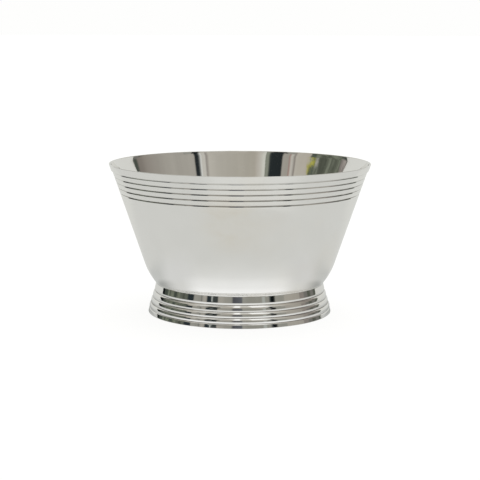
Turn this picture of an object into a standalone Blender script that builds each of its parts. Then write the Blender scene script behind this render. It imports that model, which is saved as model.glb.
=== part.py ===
"""Footed champagne bowl of silver plate: a spun bowl with a mouth strap, on a soldered ring foot.

Units are metres and +Z is up. The origin is the centre of the circle that the foot stands on.
Every piece is a turned shape: its half section, as (radius, height) points, goes round the axis.
"""
import math

import bmesh
import bpy

# Driving dimensions
HEIGHT = 0.2062               # from the table to the lip
MOUTH_RADIUS = 0.1800         # outside of the mouth strap
WALL_RADIUS = 0.1786          # outside of the bowl's wall at the lip
WALL_LEAN = math.radians(18.8)     # the wall's angle from vertical
SHEET = 0.0015                # thickness of the bowl
WALL_FOOT = 0.0697            # height at which the straight wall ends

LOWER_CURVE = 0.0908          # radius of the curve below the straight wall
TUCK_ANGLE = math.radians(41.0)    # surface angle from vertical where the foot meets the bowl
FLOOR_CURVE = 0.0550          # radius of the curve inside the foot, into the flat floor

GROOVE_COUNT = 5
GROOVE_DROP = 0.0102          # from the lip to the first groove's middle
GROOVE_PITCH = 0.0074
GROOVE_WIDTH = 0.0023
GROOVE_DEPTH = 0.0007
GROOVE_SKEW = 0.3             # the deepest line's place, as a share of the width from the upper edge

STRAP_HEIGHT = 0.0090         # mouth strap, down to the first groove
STRAP_THICKNESS = 0.0011
STRAP_ROUND = 0.0004          # size of the rounding on the strap's outer edges

FOOT_TOP_RADIUS = 0.1161
FOOT_BASE_RADIUS = 0.1271
CREST_BASE_RADIUS = 0.12765   # where the line over the reeds' crests would meet the table
CREST_RUN = 0.300             # outward run of that line for each unit of drop
PLINTH_HEIGHT = 0.0062        # plain lowest member of the foot
PLINTH_LEAN = math.radians(10.0)
REED_COUNT = 3
LOWEST_REED = 0.0070          # height of the reed above the plinth
REED_GROWTH = 1.115           # each reed is this much taller than the one below it
REED_TOP_ANGLE = math.radians(53.0)      # a reed's surface faces this far up at its upper edge
REED_FOOT_ANGLE = math.radians(18.0)     # and this far down at its lower edge
PLINTH_CURVE = 0.0058         # radius of the plinth's round shoulder
BAND_LEAN = math.radians(13.0)           # the plain band above the reeds, from vertical
BAND_CURVE = 0.0050           # radius of the band's round lower edge
BAND_FOOT_ANGLE = math.radians(25.0)
REED_GROOVE = 0.0003          # depth of the fine groove between two members of the foot
SKIRT = 0.0027                # from the line over the crests to the foot's plain inner side

BASE_RING_WIDTH = 0.0054
BASE_RING_HEIGHT = 0.0030
BASE_RING_INSET = 0.0022      # thickness of the foot outside the ring
SOLDER_LEG = 0.0008           # size of the solder bead in the corner
SOLDER_WAIST = 0.6            # how far the bead's face stands out, as a share of its size

GAP = 0.0003                  # clearance between pieces that touch
STEPS = 72                    # facets round the axis
CURVE_STEPS = 6               # facets along a quarter turn or less
REED_STEPS = 5                # facets down one rounded member of the foot
CREASE = math.radians(30.0)   # edges sharper than this stay sharp in the shading


def arc(centre, radius, start, end, steps):
    """Points on an arc. The angle is measured downwards from the horizontal, away from the axis."""
    points = []
    for i in range(steps + 1):
        angle = start + (end - start) * i / steps
        points.append((centre[0] + radius * math.cos(angle), centre[1] - radius * math.sin(angle)))
    return points


def wall_radius(height):
    """Outside radius of the straight wall."""
    return WALL_RADIUS - (HEIGHT - height) * math.tan(WALL_LEAN)


def curve_centre(point, radius, angle):
    """Centre of an arc that passes through a point where its surface has this angle from vertical."""
    return point[0] - radius * math.cos(angle), point[1] + radius * math.sin(angle)


LOWER_CENTRE = curve_centre((wall_radius(WALL_FOOT), WALL_FOOT), LOWER_CURVE, WALL_LEAN)
TUCK_POINT = (LOWER_CENTRE[0] + LOWER_CURVE * math.cos(TUCK_ANGLE),
              LOWER_CENTRE[1] - LOWER_CURVE * math.sin(TUCK_ANGLE))
FLOOR_CENTRE = curve_centre(TUCK_POINT, FLOOR_CURVE, TUCK_ANGLE)


def bowl_underside(offset):
    """The lower curve and the floor curve, moved in by an offset, from the wall down to the floor."""
    lower = arc(LOWER_CENTRE, LOWER_CURVE - offset, WALL_LEAN, TUCK_ANGLE, CURVE_STEPS // 2)
    floor = arc(FLOOR_CENTRE, FLOOR_CURVE - offset, TUCK_ANGLE, math.pi / 2, CURVE_STEPS)
    return lower + floor[1:]


def groove(middle):
    """A shallow turned groove in the wall: upper edge, deepest line, lower edge."""
    top, bottom = middle + GROOVE_WIDTH / 2, middle - GROOVE_WIDTH / 2
    deepest = top - GROOVE_WIDTH * GROOVE_SKEW
    return [(wall_radius(top), top), (wall_radius(deepest) - GROOVE_DEPTH, deepest),
            (wall_radius(bottom), bottom)]


def bowl_section():
    """From the middle of the floor up the inside, over the lip, and down the outside."""
    inner = bowl_underside(SHEET)
    inner_lip = (WALL_RADIUS - SHEET / math.cos(WALL_LEAN), HEIGHT)
    points = [(0.0, inner[-1][1])] + inner[::-1] + [inner_lip, (WALL_RADIUS, HEIGHT)]
    for i in range(GROOVE_COUNT):
        points += groove(HEIGHT - GROOVE_DROP - i * GROOVE_PITCH)
    outer = bowl_underside(0.0)
    return points + outer + [(0.0, outer[-1][1])]


def strap_section():
    """The plain strap round the outside of the lip."""
    foot = HEIGHT - STRAP_HEIGHT
    inner_top = WALL_RADIUS + GAP
    inner_foot = wall_radius(foot) + GAP
    outer_foot = inner_foot + STRAP_THICKNESS
    return [(inner_top, HEIGHT), (MOUTH_RADIUS - STRAP_ROUND, HEIGHT), (MOUTH_RADIUS, HEIGHT - STRAP_ROUND),
            (outer_foot, foot + STRAP_ROUND), (outer_foot - STRAP_ROUND, foot), (inner_foot, foot)]


def bowl_height_at(radius):
    """Height of the bowl's outside on the lower curve, at a radius near the foot."""
    across = (radius - LOWER_CENTRE[0]) / LOWER_CURVE
    return LOWER_CENTRE[1] - LOWER_CURVE * math.sqrt(1.0 - across * across)


def crest_radius(height):
    """Radius of the line that touches every reed's crest."""
    return CREST_BASE_RADIUS - height * CREST_RUN


def reed_edges():
    """Heights of the fine grooves between the members of the foot, from the top one down."""
    edges = [PLINTH_HEIGHT]
    for i in range(REED_COUNT):
        edges.append(edges[-1] + LOWEST_REED * REED_GROWTH ** i)
    return edges[::-1]


def bead(crest_height, radius, start, end, steps):
    """A convex arc whose crest touches the crest line. Angles are how far the surface faces up."""
    centre = (crest_radius(crest_height) - radius, crest_height)
    return arc(centre, radius, -start, -end, steps)


def band():
    """The plain band above the reeds, which turns in at its lower edge."""
    crest_height = reed_edges()[0] + BAND_CURVE * math.sin(BAND_FOOT_ANGLE)
    edge = bead(crest_height, BAND_CURVE, BAND_LEAN, -BAND_FOOT_ANGLE, REED_STEPS)
    return [(FOOT_TOP_RADIUS, bowl_height_at(FOOT_TOP_RADIUS) - GAP)] + edge


def reed(upper, lower):
    """One convex reed between two grooves."""
    radius = (upper - lower) / (math.sin(REED_TOP_ANGLE) + math.sin(REED_FOOT_ANGLE))
    crest_height = lower + radius * math.sin(REED_FOOT_ANGLE)
    return bead(crest_height, radius, REED_TOP_ANGLE, -REED_FOOT_ANGLE, REED_STEPS)


def plinth():
    """The lowest member: a round shoulder and a plain face down to the table."""
    face_top = PLINTH_HEIGHT - PLINTH_CURVE * (math.sin(REED_TOP_ANGLE) - math.sin(PLINTH_LEAN))
    face_radius = FOOT_BASE_RADIUS - face_top * math.tan(PLINTH_LEAN)
    centre = curve_centre((face_radius, face_top), PLINTH_CURVE, -PLINTH_LEAN)
    return arc(centre, PLINTH_CURVE, -REED_TOP_ANGLE, -PLINTH_LEAN, REED_STEPS) + [(FOOT_BASE_RADIUS, 0.0)]


def foot_outside():
    """The foot's outer side, top to bottom, with a fine groove between its members."""
    edges = reed_edges()
    members = [band()] + [reed(upper, lower) for upper, lower in zip(edges, edges[1:])] + [plinth()]
    points = members[0]
    for member in members[1:]:
        groove_radius = min(points[-1][0], member[0][0]) - REED_GROOVE
        points = points[:-1] + [(groove_radius, member[0][1])] + member[1:]
    return points


def foot_section():
    """The foot's skirt: the outer side down to the table, and a plain inner side back up."""
    inner_foot = crest_radius(PLINTH_HEIGHT) - SKIRT
    inner_top = crest_radius(bowl_height_at(FOOT_TOP_RADIUS)) - SKIRT
    ring_face = base_ring_outer() + GAP
    inside = [(ring_face, 0.0), (ring_face, BASE_RING_HEIGHT + GAP), (inner_foot, PLINTH_HEIGHT),
              (inner_top, bowl_height_at(inner_top) - GAP)]
    return foot_outside() + inside


def base_ring_outer():
    """Outside radius of the flat ring, which lies inside the foot's lower edge."""
    return FOOT_BASE_RADIUS - BASE_RING_INSET - GAP


def base_ring_section():
    """The flat ring inside the foot's lower edge."""
    outer = base_ring_outer()
    inner = outer - BASE_RING_WIDTH
    return [(outer, BASE_RING_HEIGHT), (outer, 0.0), (inner, 0.0), (inner, BASE_RING_HEIGHT)]


def solder_section():
    """The bead in the corner between the bowl's underside and the foot's top edge."""
    inner = FOOT_TOP_RADIUS + GAP
    outer = inner + SOLDER_LEG
    upper_inner = bowl_height_at(inner) - GAP
    foot_lean = math.tan(BAND_LEAN) * SOLDER_LEG
    return [(inner, upper_inner), (outer, bowl_height_at(outer) - GAP),
            (inner + SOLDER_LEG * SOLDER_WAIST, upper_inner - SOLDER_LEG * (1 - SOLDER_WAIST)),
            (inner + foot_lean, upper_inner - SOLDER_LEG)]


def silver(name, colour, roughness):
    """Principled material of one piece."""
    material = bpy.data.materials.new(name)
    material.use_nodes = True
    shader = material.node_tree.nodes["Principled BSDF"]
    shader.inputs["Base Color"].default_value = (*colour, 1.0)
    shader.inputs["Metallic"].default_value = 1.0
    shader.inputs["Roughness"].default_value = roughness
    return material


def turned(name, section, closed, material, collection):
    """A piece whose half section goes round the Z axis."""
    mesh = bpy.data.meshes.new(name)
    shape = bmesh.new()
    verts = [shape.verts.new((radius, 0.0, height)) for radius, height in section]
    for first, second in zip(verts, verts[1:]):
        shape.edges.new((first, second))
    if closed:
        shape.edges.new((verts[-1], verts[0]))
    shape.to_mesh(mesh)
    shape.free()
    piece = bpy.data.objects.new(name, mesh)
    collection.objects.link(piece)
    screw = piece.modifiers.new("Turn", "SCREW")
    screw.axis = "Z"
    screw.angle = math.tau
    screw.steps = STEPS
    screw.render_steps = STEPS
    screw.use_merge_vertices = True
    screw.merge_threshold = 0.00001
    evaluated = piece.evaluated_get(bpy.context.evaluated_depsgraph_get())
    solid = bpy.data.meshes.new_from_object(evaluated)
    solid.shade_smooth()
    solid.set_sharp_from_angle(angle=CREASE)
    solid.materials.append(material)
    piece.modifiers.clear()
    piece.data = solid
    bpy.data.meshes.remove(mesh)
    solid.name = name


def build():
    for item in list(bpy.data.objects):
        bpy.data.objects.remove(item, do_unlink=True)
    collection = bpy.data.collections.new("champagne_bowl")
    bpy.context.scene.collection.children.link(collection)
    plate = (0.86, 0.85, 0.82)
    solder = (0.74, 0.74, 0.71)
    turned("bowl", bowl_section(), False, silver("bowl_plate", plate, 0.12), collection)
    turned("rim_band", strap_section(), True, silver("strap_plate", plate, 0.10), collection)
    turned("foot", foot_section(), True, silver("foot_plate", plate, 0.08), collection)
    turned("foot_solder", solder_section(), True, silver("solder", solder, 0.30), collection)
    turned("base_ring", base_ring_section(), True, silver("ring_plate", plate, 0.20), collection)


build()
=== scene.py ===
"""Footed champagne bowl of polished silver plate: its turned surfaces, their finish, and the studio."""
import math

import bmesh
import bpy
from mathutils import Euler, Matrix, Vector, noise


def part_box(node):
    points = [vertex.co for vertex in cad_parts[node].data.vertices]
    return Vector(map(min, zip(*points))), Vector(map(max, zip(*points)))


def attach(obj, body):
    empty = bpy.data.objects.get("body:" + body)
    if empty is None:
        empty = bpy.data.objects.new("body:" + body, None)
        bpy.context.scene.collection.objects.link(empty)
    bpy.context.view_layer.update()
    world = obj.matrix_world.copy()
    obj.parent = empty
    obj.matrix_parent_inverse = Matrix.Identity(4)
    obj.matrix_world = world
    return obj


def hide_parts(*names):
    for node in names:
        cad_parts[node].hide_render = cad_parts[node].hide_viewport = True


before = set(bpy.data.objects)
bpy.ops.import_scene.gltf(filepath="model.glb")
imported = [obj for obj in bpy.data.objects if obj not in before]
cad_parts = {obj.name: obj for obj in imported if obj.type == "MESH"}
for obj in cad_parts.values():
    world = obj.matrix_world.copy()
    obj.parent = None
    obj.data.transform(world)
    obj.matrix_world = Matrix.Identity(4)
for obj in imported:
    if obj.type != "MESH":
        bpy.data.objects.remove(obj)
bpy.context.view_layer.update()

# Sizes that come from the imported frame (metres, row frame)
LIP_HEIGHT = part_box("bowl")[1].z
WALL_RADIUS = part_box("bowl")[1].x
MOUTH_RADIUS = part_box("rim_band")[1].x
STRAP_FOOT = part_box("rim_band")[0].z
FOOT_BASE_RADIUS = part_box("foot")[1].x
RING_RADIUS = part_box("base_ring")[1].x
RING_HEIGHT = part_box("base_ring")[1].z

# The design's own proportions
SHEET = 0.0015
WALL_LEAN = math.radians(18.8)
WALL_FOOT = 0.0697
LOWER_CURVE = 0.0908
TUCK_ANGLE = math.radians(41.0)
FLOOR_CURVE = 0.0550
GROOVE_DROP = 0.0102
GROOVE_PITCH = 0.0074
GROOVE_WIDTH = 0.0023
GROOVE_DEPTHS = (0.00064, 0.00068, 0.00072, 0.00072, 0.00075)
GROOVE_SKEW = 0.3            # the deepest line's place, as a share of the width from the upper edge
GROOVE_ROUNDS = (0.00018, 0.00022, 0.00035)   # rounding of a groove's upper edge, bottom and lower edge
LAND_CROWN = 0.00002         # how far the land between two grooves stands proud at its middle
LAND_ROUND = 0.0015
PLAIN_WALL_DROP = 0.0012     # from the last groove to the even facets of the plain wall
LIP_ROUND = 0.0006
STRAP_ROUNDS = (0.0004, LIP_ROUND, 0.0005, 0.0002)
SEATING = 0.00005            # clearance between the strap and the wall
FOOT_TOP_RADIUS = 0.1161
# The foot's plain band turns in at its lower edge through these points (radius, height).
BAND_FOOT = [(0.11785, 0.0330), (0.11794, 0.03252), (0.11777, 0.0312), (0.11742, 0.0299)]
BAND_FOOT_ROUNDS = (0.0, 0.0006, 0.0005, 0.0)
# Each reed of the foot: crest radius, crest height, radius of its curve, upper and lower edge
REEDS = [(0.12065, 0.0230, 0.0085, 0.0296, 0.0212),
         (0.12301, 0.0156, 0.0066, 0.0209, 0.0133),
         (0.12545, 0.00835, 0.0058, 0.0131, 0.0063)]
REED_STEPS = 30
REED_FLATNESS = 1.1          # how much flatter than its curve a reed gets over its middle
REED_MIDDLE = math.radians(10.5)              # how far up the flattest part faces
REED_FLAT_REACH = math.radians(9.0)
CREVICE_DEPTH = 0.00035
PLINTH_LEAN = math.radians(13.0)
PLINTH_TOP = 0.0061
PLINTH_SHOULDER = [(0.12492, PLINTH_TOP), (0.12590, 0.0052)]
PLINTH_FACE = 0.0036         # height at which the plinth's straight face begins
PLINTH_SHARES = (0.3, 0.6, 0.85, 0.93)        # where its facets divide that face, from the top
HEEL_EDGE = 0.0002
SKIRT_TOP = 0.0032           # thickness of the foot where it meets the bowl
SKIRT = 0.0022               # and of its lowest reed
TOUCH = 0.0001               # how far the foot and the bowl, or the foot and the ring, keep apart
RING_WIDTH = 0.0054
RING_ROUND = 0.0004
SOLDER_SIZE = 0.00045
SOLDER_INSET = 0.0002        # the bead begins this far inside the foot's upper edge
SOLDER_GAP = 0.00002         # and keeps this far off the bowl
# The bead's outline below the bowl, as shares of its size: out from its inner edge, and up
SOLDER_OUTLINE = [(0.86, 0.42), (0.70, 0.0), (0.58, -0.25), (0.46, -0.45), (0.20, -0.55)]
TURNS = 288                  # facets round the axis
SOLDER_TURNS = 1080
SHARP = math.radians(50)     # edges sharper than this aren't shaded smooth


def arc(centre, radius, start, end, steps):
    """Points on an arc. The angle is measured downwards from the horizontal, away from the axis."""
    points = []
    for i in range(steps + 1):
        angle = start + (end - start) * i / steps
        points.append((centre[0] + radius * math.cos(angle), centre[1] - radius * math.sin(angle)))
    return points


def wall_radius(height):
    """Outside radius of the straight wall."""
    return WALL_RADIUS - (LIP_HEIGHT - height) * math.tan(WALL_LEAN)


def on_wall(height, proud):
    """A point this far outside the straight wall, square to it."""
    lean = Vector((math.cos(WALL_LEAN), -math.sin(WALL_LEAN)))
    return wall_radius(height) + lean.x * proud, height + lean.y * proud


LOWER_CENTRE = (wall_radius(WALL_FOOT) - LOWER_CURVE * math.cos(WALL_LEAN),
                WALL_FOOT + LOWER_CURVE * math.sin(WALL_LEAN))
FLOOR_CENTRE = (LOWER_CENTRE[0] + (LOWER_CURVE - FLOOR_CURVE) * math.cos(TUCK_ANGLE),
                LOWER_CENTRE[1] - (LOWER_CURVE - FLOOR_CURVE) * math.sin(TUCK_ANGLE))


def underside(offset):
    """The lower curve and the floor curve, moved in by an offset, then the flat floor to the axis."""
    lower = arc(LOWER_CENTRE, LOWER_CURVE - offset, WALL_LEAN, TUCK_ANGLE, 14)
    floor = arc(FLOOR_CENTRE, FLOOR_CURVE - offset, TUCK_ANGLE, math.pi / 2, 20)[1:]
    radius, height = floor[-1]
    flat = [(radius * (1 - i / 8), height) for i in range(1, 9)]
    return lower + floor + flat


def eased(corners, sizes, steps=4, closed=False):
    """A line through these corners, each rounded off by its own size."""
    points = []
    count = len(corners)
    for i, (corner, size) in enumerate(zip(corners, sizes)):
        if size == 0 or (not closed and i in (0, count - 1)):
            points.append(corner)
            continue
        here = Vector(corner)
        before = Vector(corners[i - 1]) - here
        after = Vector(corners[(i + 1) % count]) - here
        reach = min(size, before.length * 0.48, after.length * 0.48)
        start, end = here + before.normalized() * reach, here + after.normalized() * reach
        for j in range(steps + 1):
            t = j / steps
            points.append(tuple(start * (1 - t) ** 2 + here * 2 * t * (1 - t) + end * t * t))
    return points


def grooved_wall():
    """The outside of the straight wall: plain behind the strap, five turned grooves, then plain."""
    corners, sizes = [], []
    for i, depth in enumerate(GROOVE_DEPTHS):
        top = LIP_HEIGHT - GROOVE_DROP - i * GROOVE_PITCH + GROOVE_WIDTH / 2
        bottom = top - GROOVE_WIDTH
        corners += [on_wall(top, 0.0), on_wall(top - GROOVE_WIDTH * GROOVE_SKEW, -depth),
                    on_wall(bottom, 0.0)]
        sizes += GROOVE_ROUNDS
        if i < len(GROOVE_DEPTHS) - 1:
            corners.append(on_wall((bottom + top - GROOVE_PITCH) / 2, LAND_CROWN))
            sizes.append(LAND_ROUND)
    upper = on_wall(LIP_HEIGHT - GROOVE_DROP / 2, 0.0)
    plain = bottom - PLAIN_WALL_DROP
    lower_wall = [on_wall(plain - (plain - WALL_FOOT) * i / 16, 0.0) for i in range(17)]
    return eased([upper] + corners + [lower_wall[0]], [0.0] + sizes + [0.0]) + lower_wall[1:-1]


def bowl_section():
    """From the middle of the floor up the inside, over the rounded lip, and down the outside."""
    inner = underside(SHEET)[::-1]
    slant = SHEET / math.cos(WALL_LEAN)
    wall_steps = 24
    low = inner[-1]
    top = (WALL_RADIUS - slant, LIP_HEIGHT - LIP_ROUND)
    up = [(low[0] + (top[0] - low[0]) * i / wall_steps, low[1] + (top[1] - low[1]) * i / wall_steps)
          for i in range(1, wall_steps)]
    lip_middle = WALL_RADIUS - slant / 2
    lip = [(lip_middle - math.cos(a) * slant / 2, LIP_HEIGHT - LIP_ROUND + math.sin(a) * LIP_ROUND)
           for a in [math.pi * i / 10 for i in range(11)]]
    return inner + up + lip + grooved_wall() + underside(0.0)


def strap_section():
    """The plain strap round the outside of the lip."""
    proud = MOUTH_RADIUS - WALL_RADIUS - SEATING
    wall_below = wall_radius(STRAP_FOOT)
    corners = [(WALL_RADIUS + SEATING, LIP_HEIGHT), (MOUTH_RADIUS, LIP_HEIGHT),
               (wall_below + proud, STRAP_FOOT), (wall_below + SEATING, STRAP_FOOT)]
    return eased(corners, STRAP_ROUNDS, 6, True)


def bowl_height_at(radius):
    """Height of the bowl's outside on the lower curve, at a radius near the foot."""
    across = (radius - LOWER_CENTRE[0]) / LOWER_CURVE
    return LOWER_CENTRE[1] - LOWER_CURVE * math.sqrt(1.0 - across * across)


def reed(crest, middle, curve, upper, lower):
    """One convex reed between two heights, flatter over its middle than at its shoulders."""
    start, end = math.asin((upper - middle) / curve), math.asin((lower - middle) / curve)
    step = (end - start) / REED_STEPS
    points = [(0.0, 0.0)]
    for i in range(REED_STEPS):
        lean = start + step * (i + 0.5)
        flatness = 1.0 + REED_FLATNESS * math.exp(-((lean - REED_MIDDLE) / REED_FLAT_REACH) ** 2)
        radius, height = points[-1]
        ahead = flatness * step
        points.append((radius - math.sin(lean) * ahead, height + math.cos(lean) * ahead))
    size = (lower - upper) / points[-1][1]
    proudest = max(radius for radius, height in points)
    return [(crest + (radius - proudest) * size, upper + height * size) for radius, height in points]


def foot_members():
    """The members of the foot's outer side, top to bottom: a plain band, three reeds and a plinth."""
    top = (FOOT_TOP_RADIUS, bowl_height_at(FOOT_TOP_RADIUS) - TOUCH)
    turn = BAND_FOOT[0]
    band = [(top[0] + (turn[0] - top[0]) * i / 10, top[1] + (turn[1] - top[1]) * i / 10) for i in range(11)]
    band += eased(BAND_FOOT, BAND_FOOT_ROUNDS, 6)[1:]
    face = (FOOT_BASE_RADIUS - PLINTH_FACE * math.tan(PLINTH_LEAN), PLINTH_FACE)
    plinth = eased(PLINTH_SHOULDER + [face], [0.0, 0.0010, 0.0], 8)
    for share in PLINTH_SHARES:
        plinth.append((face[0] + (FOOT_BASE_RADIUS - face[0]) * share, face[1] * (1 - share)))
    plinth.append((FOOT_BASE_RADIUS - HEEL_EDGE, 0.0))
    return [band] + [reed(*sizes) for sizes in REEDS] + [plinth]


def foot_section():
    """The foot's skirt: the outer side down to the table, and the plain inner side back up."""
    members = foot_members()
    points = members[0]
    for below in members[1:]:
        above_end, start = points[-1], below[0]
        deepest = (min(above_end[0], start[0]) - CREVICE_DEPTH, (above_end[1] + start[1]) / 2)
        points = points + [deepest] + below
    inner_top = FOOT_TOP_RADIUS - SKIRT_TOP
    inner_base = RING_RADIUS + TOUCH
    inside = [(inner_base, 0.0), (inner_base, RING_HEIGHT + 0.0003), (REEDS[-1][0] - SKIRT, PLINTH_TOP),
              (inner_top, bowl_height_at(inner_top) - TOUCH)]
    return points + inside


def ring_section():
    """The flat ring on which the bowl stands."""
    inner = RING_RADIUS - RING_WIDTH
    corners = [(RING_RADIUS, RING_HEIGHT), (RING_RADIUS, 0.0), (inner, 0.0), (inner, RING_HEIGHT)]
    return eased(corners, [RING_ROUND] * 4, 5, True)


def solder_section(angle):
    """The bead in the corner between the bowl and the foot: thin, hand run, with a few small lumps."""
    around = Vector((math.sin(angle), -math.cos(angle), 0.0))
    ripple = noise.noise(around * 22.0) * 0.28 + noise.noise(around * 70.0) * 0.16
    lump = max(0.0, noise.noise(around * 34.0 + Vector((3.1, 1.7, 5.2))) - 0.32) * 2.2
    size = SOLDER_SIZE * (0.95 + ripple + lump)
    inner = FOOT_TOP_RADIUS - SOLDER_INSET
    outer = inner + size * 1.1
    level = bowl_height_at(inner)
    against_bowl = [(inner, level - SOLDER_GAP), (outer, bowl_height_at(outer) - SOLDER_GAP)]
    return against_bowl + [(inner + size * out, level + size * up) for out, up in SOLDER_OUTLINE]


def turned(name, section, closed, turns=TURNS):
    """A smooth piece round the Z axis. The section is a list of points, or gives one for each angle."""
    verts, rows = [], []
    for i in range(turns):
        angle = math.tau * i / turns
        points = section(angle) if callable(section) else section
        rows.append(range(len(verts), len(verts) + len(points)))
        east, south = math.sin(angle), -math.cos(angle)
        verts += [(radius * east, radius * south, height) for radius, height in points]
    faces = []
    for i, row in enumerate(rows):
        after = rows[(i + 1) % turns]
        for j in range(len(row) if closed else len(row) - 1):
            k = (j + 1) % len(row)
            faces.append((row[j], row[k], after[k], after[j]))
    mesh = bpy.data.meshes.new(name)
    mesh.from_pydata(verts, [], faces)
    shape = bmesh.new()
    shape.from_mesh(mesh)
    bmesh.ops.remove_doubles(shape, verts=shape.verts, dist=0.0000005)
    bmesh.ops.recalc_face_normals(shape, faces=shape.faces)
    shape.to_mesh(mesh)
    shape.free()
    mesh.shade_smooth()
    mesh.set_sharp_from_angle(angle=SHARP)
    piece = bpy.data.objects.new(name, mesh)
    bpy.context.scene.collection.objects.link(piece)
    return piece


def linear(red, green, blue):
    """Scene-linear colour of a display colour given from 0 to 255."""
    shares = [v / 255 for v in (red, green, blue)]
    return tuple(v / 12.92 if v <= 0.04 else ((v + 0.055) / 1.055) ** 2.4 for v in shares)


class Graph:
    """Short calls for building a node tree."""

    def __init__(self, tree):
        self.tree = tree
        tree.nodes.clear()

    def node(self, kind, inputs=None, **settings):
        node = self.tree.nodes.new("ShaderNode" + kind)
        for key, value in settings.items():
            setattr(node, key, value)
        for key, value in (inputs or {}).items():
            if isinstance(value, bpy.types.NodeSocket):
                self.tree.links.new(value, node.inputs[key])
            else:
                node.inputs[key].default_value = value
        return node

    def math(self, operation, *values):
        return self.node("Math", dict(enumerate(values)), operation=operation).outputs[0]

    def between(self, value, low, high, start=0.0, end=1.0):
        """A value that goes smoothly from start to end as the input goes from low to high."""
        inputs = {"Value": value, "From Min": low, "From Max": high, "To Min": start, "To Max": end}
        return self.node("MapRange", inputs, interpolation_type="SMOOTHSTEP").outputs[0]

    def mix(self, share, first, second):
        ends = [v if isinstance(v, bpy.types.NodeSocket) else (*v, 1.0) for v in (first, second)]
        return self.node("Mix", {0: share, 6: ends[0], 7: ends[1]}, data_type="RGBA").outputs[2]

    def stretched(self, vector, scale, turn=0.0):
        """The position, scaled along each axis, and turned first."""
        turns = (turn, turn * 0.6, turn * 0.3)
        turned_by = self.node("Mapping", {"Vector": vector, "Rotation": turns}).outputs[0]
        return self.node("Mapping", {"Vector": turned_by, "Scale": scale}).outputs[0]

    def cloud(self, vector, scale, detail=3.0, **more):
        """Noise in space, from about 0 to 1."""
        inputs = {"Vector": vector, "Scale": scale, "Detail": detail, **more}
        return self.node("TexNoise", inputs).outputs[0]

    def bands(self, place, scale, detail=3.0):
        """Noise along one number, for lines that a lathe leaves."""
        inputs = {"W": place, "Scale": scale, "Detail": detail}
        return self.node("TexNoise", inputs, noise_dimensions="1D").outputs[0]

    def bump(self, height, distance, below=None):
        inputs = {"Height": height, "Distance": distance, "Strength": 1.0}
        if below:
            inputs["Normal"] = below
        return self.node("Bump", inputs).outputs[0]


class Silver:
    """A silver plate material being built: its position inputs, then colour, roughness and relief."""

    def __init__(self, name):
        self.material = bpy.data.materials.new(name)
        self.material.use_nodes = True
        self.graph = g = Graph(self.material.node_tree)
        self.place = g.node("TexCoord").outputs["Object"]
        axes = g.node("SeparateXYZ", {0: self.place})
        x, y, self.height = axes.outputs
        self.radius = g.math("SQRT", g.math("ADD", g.math("MULTIPLY", x, x), g.math("MULTIPLY", y, y)))
        self.along = g.math("ADD", g.math("MULTIPLY", self.radius, 0.55), self.height)
        facing = g.node("SeparateXYZ", {0: g.node("NewGeometry").outputs["Normal"]})
        self.up = facing.outputs[2]

    def near(self, value, middle, reach):
        """1 at a value, down to 0 this far from it."""
        g = self.graph
        away = g.math("ABSOLUTE", g.math("SUBTRACT", value, middle))
        return g.between(away, 0.0, reach, 1.0, 0.0)

    def hairlines(self, scale, share):
        """Fine random scratches in three directions: 1 on a scratch."""
        g = self.graph
        found = None
        for turn, stretch in ((0.0, (1.0, 1.0, 26.0)), (0.9, (20.0, 1.0, 1.0)), (2.1, (1.0, 24.0, 1.0))):
            lines = g.cloud(g.stretched(self.place, stretch, turn), scale, 2.0)
            line = g.between(lines, 1.0 - share, 1.02 - share)
            found = line if found is None else g.math("MAXIMUM", found, line)
        return found

    def finish(self, colour, roughness, normal):
        g = self.graph
        inputs = {"Base Color": colour, "Metallic": 1.0, "Roughness": roughness, "Normal": normal}
        g.node("OutputMaterial", {0: g.node("BsdfPrincipled", inputs).outputs[0]})
        return self.material


# Reflected colours, scene-linear
PLATE = (0.915, 0.907, 0.886)
WARM_PLATE = (0.905, 0.872, 0.815)
# A painted reflection: the tone of a faint rosy patch on the bowl's front
ROSY_REFLECTION = (0.885, 0.845, 0.775)
VEILED_PLATE = (0.70, 0.69, 0.66)
UNPOLISHED = (0.74, 0.71, 0.65)
SPECK = (0.62, 0.57, 0.49)
# Painted shade for the hollows of the grooves and crevices
PAINTED_SHADE_TONE = (0.20, 0.175, 0.145)
SCUFFED = (0.66, 0.58, 0.43)
SOLDER, DULL_SOLDER, FLUX = (0.74, 0.73, 0.70), (0.60, 0.585, 0.55), (0.36, 0.31, 0.24)

# Relief of the plate, in metres
WAVE = 0.00016               # the slow unevenness of spun metal
LATHE_LINE = 0.0000012
HAIRLINE = 0.0000025
ROSY_REFLECTION_MIDDLE = (-0.010, -0.150, 0.148)         # middle of a faint painted rosy reflection on the front of the wall
UNPOLISHED_RADIUS = 0.1140   # the bowl's underside is unpolished within this radius


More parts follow.
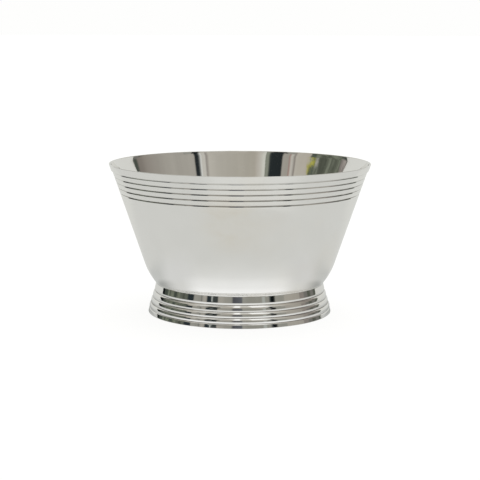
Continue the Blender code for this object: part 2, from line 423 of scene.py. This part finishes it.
def plated(name, smooth, haze, painted_shade=None, is_bowl=False):
    """Polished silver plate. Painted shade, if given, is made from the material being built.

    The bowl's inside is its smoothest part, its underside within the foot was left as it came off the
    lathe, and a faint rosy patch on its wall is a painted reflection.
    """
    s = Silver(name)
    g = s.graph
    clouds = g.cloud(g.stretched(s.place, (1.0, 1.0, 1.7)), 11.0, 5.0, Roughness=0.62)
    warm = g.between(g.cloud(s.place, 7.3, 3.0), 0.52, 0.78, 0.0, 0.8)
    specks = g.between(g.cloud(s.place, 520.0, 1.0), 0.74, 0.80, 0.0, 0.28)
    colour = g.mix(warm, PLATE, WARM_PLATE)
    colour = g.mix(specks, colour, SPECK)
    veil = g.between(g.cloud(s.place, 34.0, 4.0, Roughness=0.6), 0.36, 0.66, 0.0, 0.06)
    colour = g.mix(veil, colour, VEILED_PLATE)
    turning = g.bands(s.along, 2300.0, 4.0)
    lines = s.hairlines(38.0, 0.27)
    cloudy = g.math("MULTIPLY", g.between(clouds, 0.34, 0.68), haze)
    cloudy = g.math("MULTIPLY_ADD", g.between(turning, 0.45, 0.75), haze * 0.35, cloudy)
    turned_relief = turning
    roughness = g.math("ADD", cloudy, smooth)
    if is_bowl:
        inside = g.between(s.up, -0.10, 0.10)
        within_foot = g.math("LESS_THAN", s.radius, UNPOLISHED_RADIUS)
        beneath = g.math("MULTIPLY", g.math("LESS_THAN", s.up, -0.4), within_foot)
        roughness = g.math("MULTIPLY", roughness, g.between(inside, 0.0, 1.0, 1.0, 0.35))
        roughness = g.math("MULTIPLY_ADD", beneath, 0.24, roughness)
        colour = g.mix(g.math("MULTIPLY", beneath, 0.6), colour, UNPOLISHED)
        # A painted reflection: a faint rosy patch on the front of the wall
        away = g.node("VectorMath", {0: s.place, 1: ROSY_REFLECTION_MIDDLE}, operation="DISTANCE").outputs[1]
        cloudiness = g.between(clouds, 0.40, 0.56, 0.45, 1.0)
        rosy = g.math("MULTIPLY", g.between(away, 0.012, 0.060, 1.0, 0.0), cloudiness)
        colour = g.mix(rosy, colour, ROSY_REFLECTION)
        turned_relief = g.math("MULTIPLY", turning, g.math("MULTIPLY_ADD", beneath, 5.0, 1.0))
    roughness = g.math("MULTIPLY_ADD", lines, 0.05, roughness)
    # Painted shade in the hollows: darker and rougher there
    if painted_shade:
        painted_shade_mask = painted_shade(s)
        colour = g.mix(painted_shade_mask, colour, PAINTED_SHADE_TONE)
        roughness = g.math("MULTIPLY_ADD", painted_shade_mask, 0.30, roughness)
    normal = g.bump(g.cloud(g.stretched(s.place, (1.0, 1.0, 1.5)), 13.0, 2.0), WAVE)
    normal = g.bump(turned_relief, LATHE_LINE, normal)
    normal = g.bump(lines, HAIRLINE, normal)
    return s.finish(colour, roughness, normal)


def grooves_and_strap_line(s):
    """Painted shade: the turned grooves, a line under the strap and a patchy line by the solder are
    darkened.

    It is faintest in the upper grooves and on the bowl's front and back, and darkest at the bowl's sides.
    """
    g = s.graph
    lean = math.tan(WALL_LEAN)
    wall = g.math("MULTIPLY_ADD", s.height, lean, WALL_RADIUS - LIP_HEIGHT * lean)
    deep = g.math("SUBTRACT", wall, s.radius)
    outside = g.math("LESS_THAN", deep, SHEET * 0.8)
    patchy = g.between(g.cloud(s.place, 26.0, 3.0), 0.30, 0.62, 0.45, 1.0)
    bottom = g.math("MULTIPLY", g.between(deep, 0.00032, 0.00070), outside)
    under_strap = g.math("MULTIPLY", s.near(s.height, STRAP_FOOT - 0.0001, 0.0005), outside)
    above_wall_foot = g.math("GREATER_THAN", s.height, WALL_FOOT + 0.05)
    fainter_near_lip = g.between(s.height, LIP_HEIGHT - 0.030, LIP_HEIGHT - 0.012, 1.0, 0.35)
    painted_shade_mask = g.math("MULTIPLY", g.math("MAXIMUM", bottom, under_strap), above_wall_foot)
    painted_shade_mask = g.math("MULTIPLY", painted_shade_mask, fainter_near_lip)
    seam = g.math("MULTIPLY", s.near(s.height, bowl_height_at(FOOT_TOP_RADIUS) + 0.0008, 0.0014),
                  g.between(g.cloud(s.place, 60.0, 3.0), 0.42, 0.70, 0.05, 0.50))
    painted_shade_mask = g.math("MAXIMUM", g.math("MULTIPLY", painted_shade_mask, patchy), g.math("MULTIPLY", seam, outside))
    across = g.math("ABSOLUTE", g.node("SeparateXYZ", {0: s.place}).outputs[0])
    darker_at_sides = g.between(g.math("DIVIDE", across, s.radius), 0.66, 0.86, 0.75, 0.94)
    return g.math("MULTIPLY", painted_shade_mask, darker_at_sides)


def crevices(s):
    """Painted shade in the fine grooves between the members of the foot and against the solder, and fainter
    along the foot's lowest edge.
    """
    g = s.graph
    members = foot_members()
    painted_shade_mask = s.near(s.height, members[0][0][1], 0.0007)
    for above, below in zip(members, members[1:]):
        level = (above[-1][1] + below[0][1]) / 2
        painted_shade_mask = g.math("MAXIMUM", painted_shade_mask, s.near(s.height, level, 0.00060))
    patchy = g.between(g.cloud(s.place, 30.0, 4.0), 0.30, 0.65, 0.45, 1.0)
    heel = g.math("MULTIPLY", s.near(s.height, 0.0, 0.0010), 0.6)
    return g.math("MULTIPLY", g.math("MAXIMUM", painted_shade_mask, heel), g.math("MULTIPLY", patchy, 0.85))


def soldered():
    """Silver solder run by hand: dull, uneven, with brown flux left in places."""
    s = Silver("solder_silver")
    g = s.graph
    grain = g.cloud(s.place, 900.0, 3.0)
    flow = g.cloud(s.place, 120.0, 4.0)
    flux = g.between(g.cloud(s.place, 31.0, 3.0), 0.50, 0.66, 0.0, 0.85)
    colour = g.mix(g.between(flow, 0.3, 0.7), SOLDER, DULL_SOLDER)
    colour = g.mix(flux, colour, FLUX)
    roughness = g.math("MULTIPLY_ADD", flow, 0.16, 0.24)
    normal = g.bump(grain, 0.00005, g.bump(flow, 0.0003))
    return s.finish(colour, roughness, normal)


def stood_on():
    """The flat ring underneath: satin plate, scuffed where it stands on tables."""
    s = Silver("ring_silver")
    g = s.graph
    scuffs = s.hairlines(26.0, 0.36)
    low = g.between(s.height, 0.0002, 0.0008, 1.0, 0.0)
    worn = g.math("MULTIPLY", low, g.between(g.cloud(s.place, 34.0, 4.0), 0.42, 0.62))
    colour = g.mix(g.between(g.cloud(s.place, 16.0, 3.0), 0.4, 0.7, 0.0, 0.7), PLATE, WARM_PLATE)
    colour = g.mix(g.math("MULTIPLY", worn, 0.45), colour, SCUFFED)
    roughness = g.math("MULTIPLY_ADD", worn, 0.12, g.math("MULTIPLY_ADD", scuffs, 0.12, 0.20))
    normal = g.bump(scuffs, 0.000006, g.bump(g.bands(s.radius, 1900.0), 0.000002))
    return s.finish(colour, roughness, normal)


# The room that the silver mirrors. Each tone is what polished silver shows of it.
SNOW, CREAM, LIGHT = (208, 208, 202), (199, 198, 191), (246, 246, 243)
INK, COAL, NIGHT = (13, 17, 18), (38, 45, 48), (36, 41, 42)
MOSS, FERN, LEAF, LIME = (70, 76, 68), (86, 89, 80), (100, 104, 91), (152, 149, 56)
SLATE, STEEL, ASH, TAUPE = (73, 74, 78), (92, 94, 98), (112, 111, 106), (131, 125, 119)
STONE, SAND, PUTTY, PALE = (141, 140, 132), (157, 153, 144), (168, 162, 151), (162, 165, 159)
CHALK, PEARL, ROSE = (176, 172, 162), (187, 184, 175), (152, 127, 119)

# Each list goes round the room from its back left to its back right. An entry holds where a tone begins, in
# degrees from the front, the tone, and the tone that it fades to if it does. Low is what stands round the
# room, high its walls, and top its ceiling. Front is the part of the walls that only the foot mirrors.
LOW = [(-180, SNOW), (-132, INK), (-120.5, MOSS), (-112, LEAF), (-108, MOSS), (-106, LEAF), (-99, MOSS),
       (-93, LEAF), (-88, FERN), (-73, COAL), (-63.5, STONE), (-52.6, ASH), (-51.4, STONE), (-50, SAND),
       (-44.6, COAL), (-36.5, (58, 62, 60)), (-28.6, SAND, STONE), (-9.5, SLATE, STEEL),
       (4.0, STONE), (30, PALE), (35, STONE), (41, COAL), (43, INK), (48.2, STONE), (62, SAND), (88, TAUPE),
       (96, ASH), (104, FERN), (110, ASH), (118, FERN), (132, SNOW)]
FRONT = [(-180, STONE), (-60, STONE), (-46, INK), (-30.5, STONE, SAND), (-12, TAUPE), (-7, ASH), (4, STONE),
         (20, SAND), (28, CHALK), (39, STONE), (40.5, INK), (47.5, STONE), (60, STONE)]
HIGH = [(-180, STONE), (-128, FERN), (-120, TAUPE), (-113, LEAF), (-79.5, MOSS), (-74, PUTTY, CHALK),
        (-58, TAUPE), (-56, PEARL), (-53, ROSE), (-51.4, SAND), (-44, NIGHT), (-30.5, (126, 129, 117)),
        (-26.5, (194, 194, 184)), (-23.6, PEARL, PUTTY), (-16, (165, 160, 148), CHALK), (34, TAUPE),
        (35.6, PEARL), (40.4, SNOW), (42.3, NIGHT), (47, SAND), (76, SAND, (125, 118, 110)), (115.5, MOSS),
        (121, STONE)]
TOP = [(-180, CREAM), (-128, FERN, STONE), (-100, SAND, CHALK), (-76, PEARL, SNOW), (-49, PUTTY),
       (-41, SNOW), (-35, SAND), (-24, PUTTY, PEARL), (-9.5, LIGHT), (1.5, PEARL), (18, LIGHT), (45, SNOW),
       (52, PEARL), (70, PUTTY), (84, SAND), (98, TAUPE), (132, CREAM)]
ZENITH = (238, 238, 234)
FLOOR_TONE, BRIGHT_FLOOR = (203, 203, 198), (212, 212, 207)
BACKDROP = (254, 254, 253)
SOFT_EDGE = 0.5              # how many degrees one tone takes to give way to the next
RAMP_TONES = 12              # how many tones one colour ramp holds, at two stops for each

# The floor, in metres, with how it takes light and how it glows by itself
FLOOR_RADIUS, FLOOR_LEVEL = 40.0, -0.0002
FLOOR_COLOUR, FLOOR_GLOW, FLOOR_GLOW_STRENGTH = (0.18, 0.18, 0.179), (1.0, 1.0, 0.995), 0.88

# The table top's painted light and shade, and the distances from the axis over which they change, in metres
TABLE_RADIUS, TABLE_LEVEL = 0.33, -0.0003
TABLE_NEAR, TABLE_LIT = (244, 244, 242), (231, 231, 228)
TABLE_HALF_SHADED, TABLE_SHADED = (208, 208, 204), (162, 163, 159)
TABLE_LEFT, TABLE_RIGHT, TABLE_BEYOND = (208, 208, 205), (205, 205, 202), (190, 191, 187)
NEAR_EDGE, LIT_EDGE = (0.125, 0.150), (0.145, 0.235)
SHADE_EDGE, BEYOND_EDGE = (0.146, 0.172), (0.20, 0.27)
# and the directions over which they change, in degrees from the front to either side
LIT_SIDE, SHADE_SIDE, BEYOND_SIDE = (32.0, 58.0), (58.0, 95.0), (68.0, 95.0)

# The paper behind the bowl, in metres
SWEEP_LINE = [(0.132, 0.0), (0.150, 0.0), (0.190, 0.22), (0.45, 0.40), (0.47, 1.0)]    # back, and up
SWEEP_ROUNDS = (0.0, 0.012, 0.06, 0.10, 0.0)
SWEEP_SIDES = (-0.405, 0.445)
# Each taper: how far it draws the sides in, from what height, over what height
SWEEP_TAPERS = ((0.10, 0.12, 0.045), (0.04, 0.165, 0.17))
# Two heights, and the painted tone of light that the paper goes to between them
SWEEP_TONES = ((0.0, 0.08, SNOW), (0.26, 0.38, PEARL), (0.60, 0.80, SNOW))

# The camera of the main view
LENS = 104.37
CAMERA_ASIDE = 0.0004
CAMERA_BACK, CAMERA_UP = 10.6127, 2.209       # in mouth radii
CAMERA_TILT, CAMERA_ROLL = 0.1554, 0.0028     # in radians

# Elevations in degrees over which one layer of the room gives way to the next
FLOOR_EDGE = (-9.0, -6.5)
LOW_EDGE = (13.5, 15.5)
FRONT_EDGE = (24.8, 25.8)
WALL_EDGE = (0.0, 2.0)       # above the walls' top line
ZENITH_EDGE = (60.0, 70.0)
EVEN_BELOW = (-6.0, 0.0)     # the unevenness of the room's light ends between these
WALL_TOP = 33.2              # elevation of the walls' top line, straight in front
WALL_TOP_FALL = -3.66        # how it falls to the sides, times the square of the azimuth in radians
WALL_TOP_TURN = 1.92         # and the azimuth beyond which it is level

FRONT_REACH = 57.0           # how far to each side the front part of the walls goes, in degrees
BRIGHT_FLOOR_MIDDLE = 0.25   # direction of the brighter floor, in radians from the front
BRIGHT_FLOOR_EDGE = (0.5, 1.1)                # and how far from it that floor ends

# The room's leaves begin and end between these directions, in turns from the back left.
LEAVES_BEGIN = (0.155, 0.17)
LEAVES_END = (0.285, 0.30)

# What stands in front leans, and is in its listed direction at this elevation. From the one direction to
# the other, in turns, the lean goes from this to that, in turns for each degree of elevation.
LISTED_AT = 22.0
FRONT_LEAN = (0.45, 0.55, 0.9 / 360, -0.7 / 360)

# A pale lamp before the dark doorway: its shade's and its stem's direction and half width, and the
# elevations between which each begins, all in degrees
SHADE_ACROSS, SHADE_FOOT = (-37.6, 2.7), (12.3, 12.8)
STEM_ACROSS, STEM_FOOT = (-37.2, 0.9), (11.2, 11.6)

# A bright bush that leans, with pale wall on its one side and an opening in the leaves on its other side.
# Its rise is measured from the line that the inside of the bowl mirrors, in degrees.
RISE_PER_TURN = -72.0
RISE_START = 4.05
BUSH_FOOT = (-0.38, -0.28)
BUSH_TOP = (0.42, 0.50)
PALE_ACROSS, PALE_TOP = (-76.6, 4.0), (0.48, 0.56)
OPENING_ACROSS, OPENING_FOOT = (-82.3, 2.1), (0.16, 0.28)
# Two rises, and between which directions its middle leans from the one to the other
BUSH_LEAN = (-0.10, 0.35, 0.5 - 73.2 / 360, 0.5 - 78.4 / 360)
# Two rises, and how far to each side it reaches at each, in degrees
BUSH_REACH = (-0.30, 0.0, 0.5, 2.6)


def seen(tone):
    """The room's own light behind a tone that is seen in the silver."""
    return tuple(light / share for light, share in zip(linear(*tone), PLATE))


def round_room(g, turn, tones):
    """A colour by direction round the room."""
    parts = [tones[i:i + RAMP_TONES] for i in range(0, len(tones), RAMP_TONES)]
    found = None
    for k, part in enumerate(parts):
        after = parts[k + 1][0][0] if k + 1 < len(parts) else 180.0
        ends = [entry[0] for entry in part[1:]] + [after]
        stops = []
        for (start, tone, *fade), end in zip(part, ends):
            stops += [(start, tone), (end - SOFT_EDGE, fade[0] if fade else tone)]
        node = g.node("ValToRGB", {0: turn})
        ramp = node.color_ramp
        ramp.elements.remove(ramp.elements[1])
        for i, (degrees, tone) in enumerate(stops):
            place = degrees / 360 + 0.5
            element = ramp.elements[0] if i == 0 else ramp.elements.new(place)
            element.position = place
            element.color = (*seen(tone), 1.0)
        if found is None:
            found = node.outputs[0]
        else:
            found = g.mix(g.math("GREATER_THAN", turn, part[0][0] / 360 + 0.5), found, node.outputs[0])
    return found


def around(g, turn, middle, reach):
    """1 within this many degrees of a direction round the room, and 0 outside."""
    away = g.math("ABSOLUTE", g.math("SUBTRACT", turn, middle / 360 + 0.5))
    return g.between(away, (reach - 0.3) / 360, (reach + 0.3) / 360, 1.0, 0.0)


def standing_light(g, turn, elevation):
    """Where a pale lamp stands before the dark doorway: a thin stem under a wider shade."""
    shade = g.math("MULTIPLY", around(g, turn, *SHADE_ACROSS), g.between(elevation, *SHADE_FOOT))
    stem = g.math("MULTIPLY", around(g, turn, *STEM_ACROSS), g.between(elevation, *STEM_FOOT))
    return g.math("MAXIMUM", shade, stem)


def with_bush(g, turn, elevation, walls):
    """The walls with the leaning bush before them."""
    rise = g.math("SUBTRACT", g.math("MULTIPLY_ADD", turn, RISE_PER_TURN, elevation), RISE_START)
    middle = g.between(rise, *BUSH_LEAN)
    past_middle = g.math("SUBTRACT", turn, middle)
    below_top = g.between(rise, *BUSH_TOP, 1.0, 0.0)
    above_foot = g.between(rise, *BUSH_FOOT)
    pale = g.math("MULTIPLY", g.between(past_middle, 0.0, 0.5 / 360), around(g, turn, *PALE_ACROSS))
    pale = g.math("MULTIPLY", g.math("MULTIPLY", pale, above_foot), g.between(rise, *PALE_TOP, 1.0, 0.0))
    opening = g.math("MULTIPLY", around(g, turn, *OPENING_ACROSS), g.between(rise, *OPENING_FOOT))
    opening = g.math("MULTIPLY", opening, below_top)
    reach = g.between(rise, *BUSH_REACH)
    within = g.math("MULTIPLY_ADD", g.math("ABSOLUTE", past_middle), -360.0, reach)
    bush = g.math("MULTIPLY", g.math("MULTIPLY", g.between(within, -0.3, 0.3), above_foot), below_top)
    walls = g.mix(pale, walls, seen(CHALK))
    walls = g.mix(opening, walls, seen(PEARL))
    return g.mix(bush, walls, seen(LIME))


def room_world():
    """A studio room: white at the back, furnished and darker in front, under a pale ceiling."""
    world = bpy.data.worlds.new("Studio")
    bpy.context.scene.world = world
    world.use_nodes = True
    g = Graph(world.node_tree)
    direction = g.node("TexCoord").outputs["Generated"]
    axes = g.node("SeparateXYZ", {0: direction})
    azimuth = g.math("ARCTAN2", axes.outputs[0], g.math("MULTIPLY", axes.outputs[1], -1.0))
    turn = g.math("MULTIPLY_ADD", azimuth, 1 / math.tau, 0.5)
    elevation = g.math("MULTIPLY", g.math("ARCSINE", axes.outputs[2]), 180 / math.pi)
    leaves = g.cloud(g.stretched(direction, (7.0, 7.0, 34.0)), 1.0, 4.0, Roughness=0.7)
    foliage = g.math("MULTIPLY", g.between(turn, *LEAVES_BEGIN), g.between(turn, *LEAVES_END, 1.0, 0.0))
    swayed = g.math("MULTIPLY", foliage, 0.03)
    leafy = g.math("MULTIPLY_ADD", g.math("SUBTRACT", leaves, 0.5), swayed, turn)

    low = g.mix(standing_light(g, turn, elevation), round_room(g, turn, LOW), seen(PALE))
    off_middle = g.math("ABSOLUTE", g.math("SUBTRACT", azimuth, BRIGHT_FLOOR_MIDDLE))
    floor = g.mix(g.between(off_middle, *BRIGHT_FLOOR_EDGE), seen(BRIGHT_FLOOR), seen(FLOOR_TONE))
    low = g.mix(g.between(elevation, *FLOOR_EDGE), floor, low)

    high = with_bush(g, turn, elevation, round_room(g, leafy, HIGH))
    lean = g.between(turn, *FRONT_LEAN)
    slanted = g.math("MULTIPLY_ADD", g.math("SUBTRACT", elevation, LISTED_AT), lean, turn)
    below_edge = g.between(elevation, *FRONT_EDGE, 1.0, 0.0)
    facing = g.math("MULTIPLY", around(g, turn, 0.0, FRONT_REACH), below_edge)
    high = g.mix(facing, high, round_room(g, slanted, FRONT))

    aside = g.math("MINIMUM", g.math("ABSOLUTE", azimuth), WALL_TOP_TURN)
    wall_top = g.math("MULTIPLY_ADD", g.math("MULTIPLY", aside, aside), WALL_TOP_FALL, WALL_TOP)
    above_walls = g.math("SUBTRACT", elevation, wall_top)
    room = g.mix(g.between(elevation, *LOW_EDGE), low, high)
    room = g.mix(g.between(above_walls, *WALL_EDGE), room, round_room(g, turn, TOP))
    room = g.mix(g.between(elevation, *ZENITH_EDGE), room, seen(ZENITH))
    mottled = g.math("MULTIPLY", g.between(leaves, 0.35, 0.65, -0.42, 0.5), foliage)
    mottled = g.math("ADD", mottled, g.between(g.cloud(direction, 5.0), 0.3, 0.7, -0.07, 0.05))
    uneven = g.math("MULTIPLY_ADD", mottled, g.between(elevation, *EVEN_BELOW), 1.0)
    light = g.node("Background", {"Color": room, "Strength": uneven})
    plain = g.node("Background", {"Color": (*linear(*BACKDROP), 1.0)})
    camera_ray = g.node("LightPath").outputs["Is Camera Ray"]
    chosen = g.node("MixShader", {0: camera_ray, 1: light.outputs[0], 2: plain.outputs[0]})
    g.node("OutputWorld", {0: chosen.outputs[0]})


def disc(name, radius, height, material):
    """A flat round surface of the studio, just under the bowl."""
    place = (0.0, 0.0, height)
    bpy.ops.mesh.primitive_circle_add(vertices=96, radius=radius, fill_type="NGON", location=place)
    item = bpy.context.object
    item.name = name
    item.data.materials.append(material)
    return item


def only_mirrored(item):
    """Hides a thing from everything but the reflections."""
    for kind in ("visible_camera", "visible_diffuse", "visible_transmission", "visible_shadow"):
        setattr(item, kind, False)


def new_material(name):
    """An empty material and its graph."""
    material = bpy.data.materials.new(name)
    material.use_nodes = True
    return material, Graph(material.node_tree)


def studio_floor():
    """The pale floor that the camera sees. The silver doesn't mirror it."""
    material, g = new_material("pale_floor")
    diffuse = g.node("BsdfDiffuse", {"Color": (*FLOOR_COLOUR, 1.0)})
    glow = g.node("Emission", {"Color": (*FLOOR_GLOW, 1.0), "Strength": FLOOR_GLOW_STRENGTH})
    both = g.node("AddShader", {0: diffuse.outputs[0], 1: glow.outputs[0]})
    g.node("OutputMaterial", {0: both.outputs[0]})
    floor = disc("studio_floor", FLOOR_RADIUS, FLOOR_LEVEL, material)
    floor.visible_glossy = False


def lit_table():
    """A glowing table top that only the silver mirrors, painted with light in front and with the bowl's
    shade at the sides.
    """
    material, g = new_material("lit_table")
    axes = g.node("SeparateXYZ", {0: g.node("TexCoord").outputs["Object"]})
    squares = [g.math("MULTIPLY", axis, axis) for axis in axes.outputs[:2]]
    radius = g.math("SQRT", g.math("ADD", *squares))
    azimuth = g.math("ARCTAN2", axes.outputs[0], g.math("MULTIPLY", axes.outputs[1], -1.0))
    aside = g.math("MULTIPLY", g.math("ABSOLUTE", azimuth), 180 / math.pi)
    lit = g.mix(g.between(radius, *NEAR_EDGE), seen(TABLE_NEAR), seen(TABLE_LIT))
    lit = g.mix(g.between(radius, *LIT_EDGE), lit, seen(FLOOR_TONE))
    shaded = g.mix(g.between(aside, *SHADE_SIDE), seen(TABLE_HALF_SHADED), seen(TABLE_SHADED))
    on_left = g.math("LESS_THAN", azimuth, 0.0)
    beyond = g.mix(on_left, seen(TABLE_RIGHT), seen(TABLE_LEFT))
    beyond = g.mix(g.between(aside, *BEYOND_SIDE), beyond, seen(TABLE_BEYOND))
    shaded = g.mix(g.between(radius, *SHADE_EDGE), shaded, beyond)
    shaded = g.mix(g.between(radius, *BEYOND_EDGE), shaded, seen(FLOOR_TONE))
    tone = g.mix(g.between(aside, *LIT_SIDE), lit, shaded)
    glow = g.node("Emission", {"Color": tone, "Strength": 1.0})
    g.node("OutputMaterial", {0: glow.outputs[0]})
    only_mirrored(disc("lit_table", TABLE_RADIUS, TABLE_LEVEL, material))


def paper_sweep():
    """White paper that rises behind the bowl and leans back, glowing with painted light that changes with
    height. Only the silver mirrors it.
    """
    material, g = new_material("sweep_paper")
    height = g.node("SeparateXYZ", {0: g.node("TexCoord").outputs["Object"]}).outputs[2]
    tone = seen(FLOOR_TONE)
    for low, high, next_tone in SWEEP_TONES:
        tone = g.mix(g.between(height, low, high), tone, seen(next_tone))
    glow = g.node("Emission", {"Color": tone, "Strength": 1.0})
    g.node("OutputMaterial", {0: glow.outputs[0]})
    verts = []
    for y, z in eased(SWEEP_LINE, SWEEP_ROUNDS, 8):
        drawn_in = 0.0
        for width, start, rise in SWEEP_TAPERS:
            drawn_in += width * min(max((z - start) / rise, 0.0), 1.0)
        verts += [(SWEEP_SIDES[0] + drawn_in, y, z), (SWEEP_SIDES[1] - drawn_in, y, z)]
    faces = [(i, i + 1, i + 3, i + 2) for i in range(0, len(verts) - 2, 2)]
    mesh = bpy.data.meshes.new("paper_sweep")
    mesh.from_pydata(verts, [], faces)
    mesh.materials.append(material)
    paper = bpy.data.objects.new("paper_sweep", mesh)
    bpy.context.scene.collection.objects.link(paper)
    only_mirrored(paper)


def lamp():
    """A wide soft light overhead, which gives the floor its faint shadow and doesn't show in the silver."""
    data = bpy.data.lights.new("softbox", "SUN")
    data.angle = math.radians(75)
    data.energy = 1.1
    light = bpy.data.objects.new("softbox", data)
    light.rotation_euler = (math.radians(-12), math.radians(8), 0.0)
    light.visible_camera = False
    light.visible_glossy = False
    bpy.context.scene.collection.objects.link(light)


def camera():
    """The main view: a long lens from a little above, tilted down."""
    data = bpy.data.cameras.new("Camera")
    data.lens = LENS
    data.sensor_width = 36.0
    eye = bpy.data.objects.new("Camera", data)
    eye.location = (CAMERA_ASIDE, -CAMERA_BACK * MOUTH_RADIUS, CAMERA_UP * MOUTH_RADIUS)
    tilt = Euler((math.pi / 2 - CAMERA_TILT, 0.0, 0.0)).to_matrix()
    eye.rotation_euler = (tilt @ Matrix.Rotation(CAMERA_ROLL, 3, "Z")).to_euler()
    bpy.context.scene.collection.objects.link(eye)
    bpy.context.scene.camera = eye


def make(name, node, section, closed, material, turns=TURNS):
    """One visible piece, in place of its CAD node."""
    piece = turned(name, section, closed, turns)
    piece.data.materials.append(material)
    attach(piece, "root")
    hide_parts(node)


bowl_silver = plated("bowl_silver", 0.085, 0.05, grooves_and_strap_line, is_bowl=True)
strap_silver = plated("strap_silver", 0.05, 0.05)
foot_silver = plated("foot_silver", 0.025, 0.035, crevices)

make("bowl_shell", "bowl", bowl_section(), False, bowl_silver)
make("mouth_strap", "rim_band", strap_section(), True, strap_silver)
make("ring_foot", "foot", foot_section(), True, foot_silver)
make("solder_bead", "foot_solder", solder_section, True, soldered(), SOLDER_TURNS)
make("standing_ring", "base_ring", ring_section(), True, stood_on())

room_world()
studio_floor()
lit_table()
paper_sweep()
lamp()
camera()
bpy.context.scene.view_settings.view_transform = "Standard"
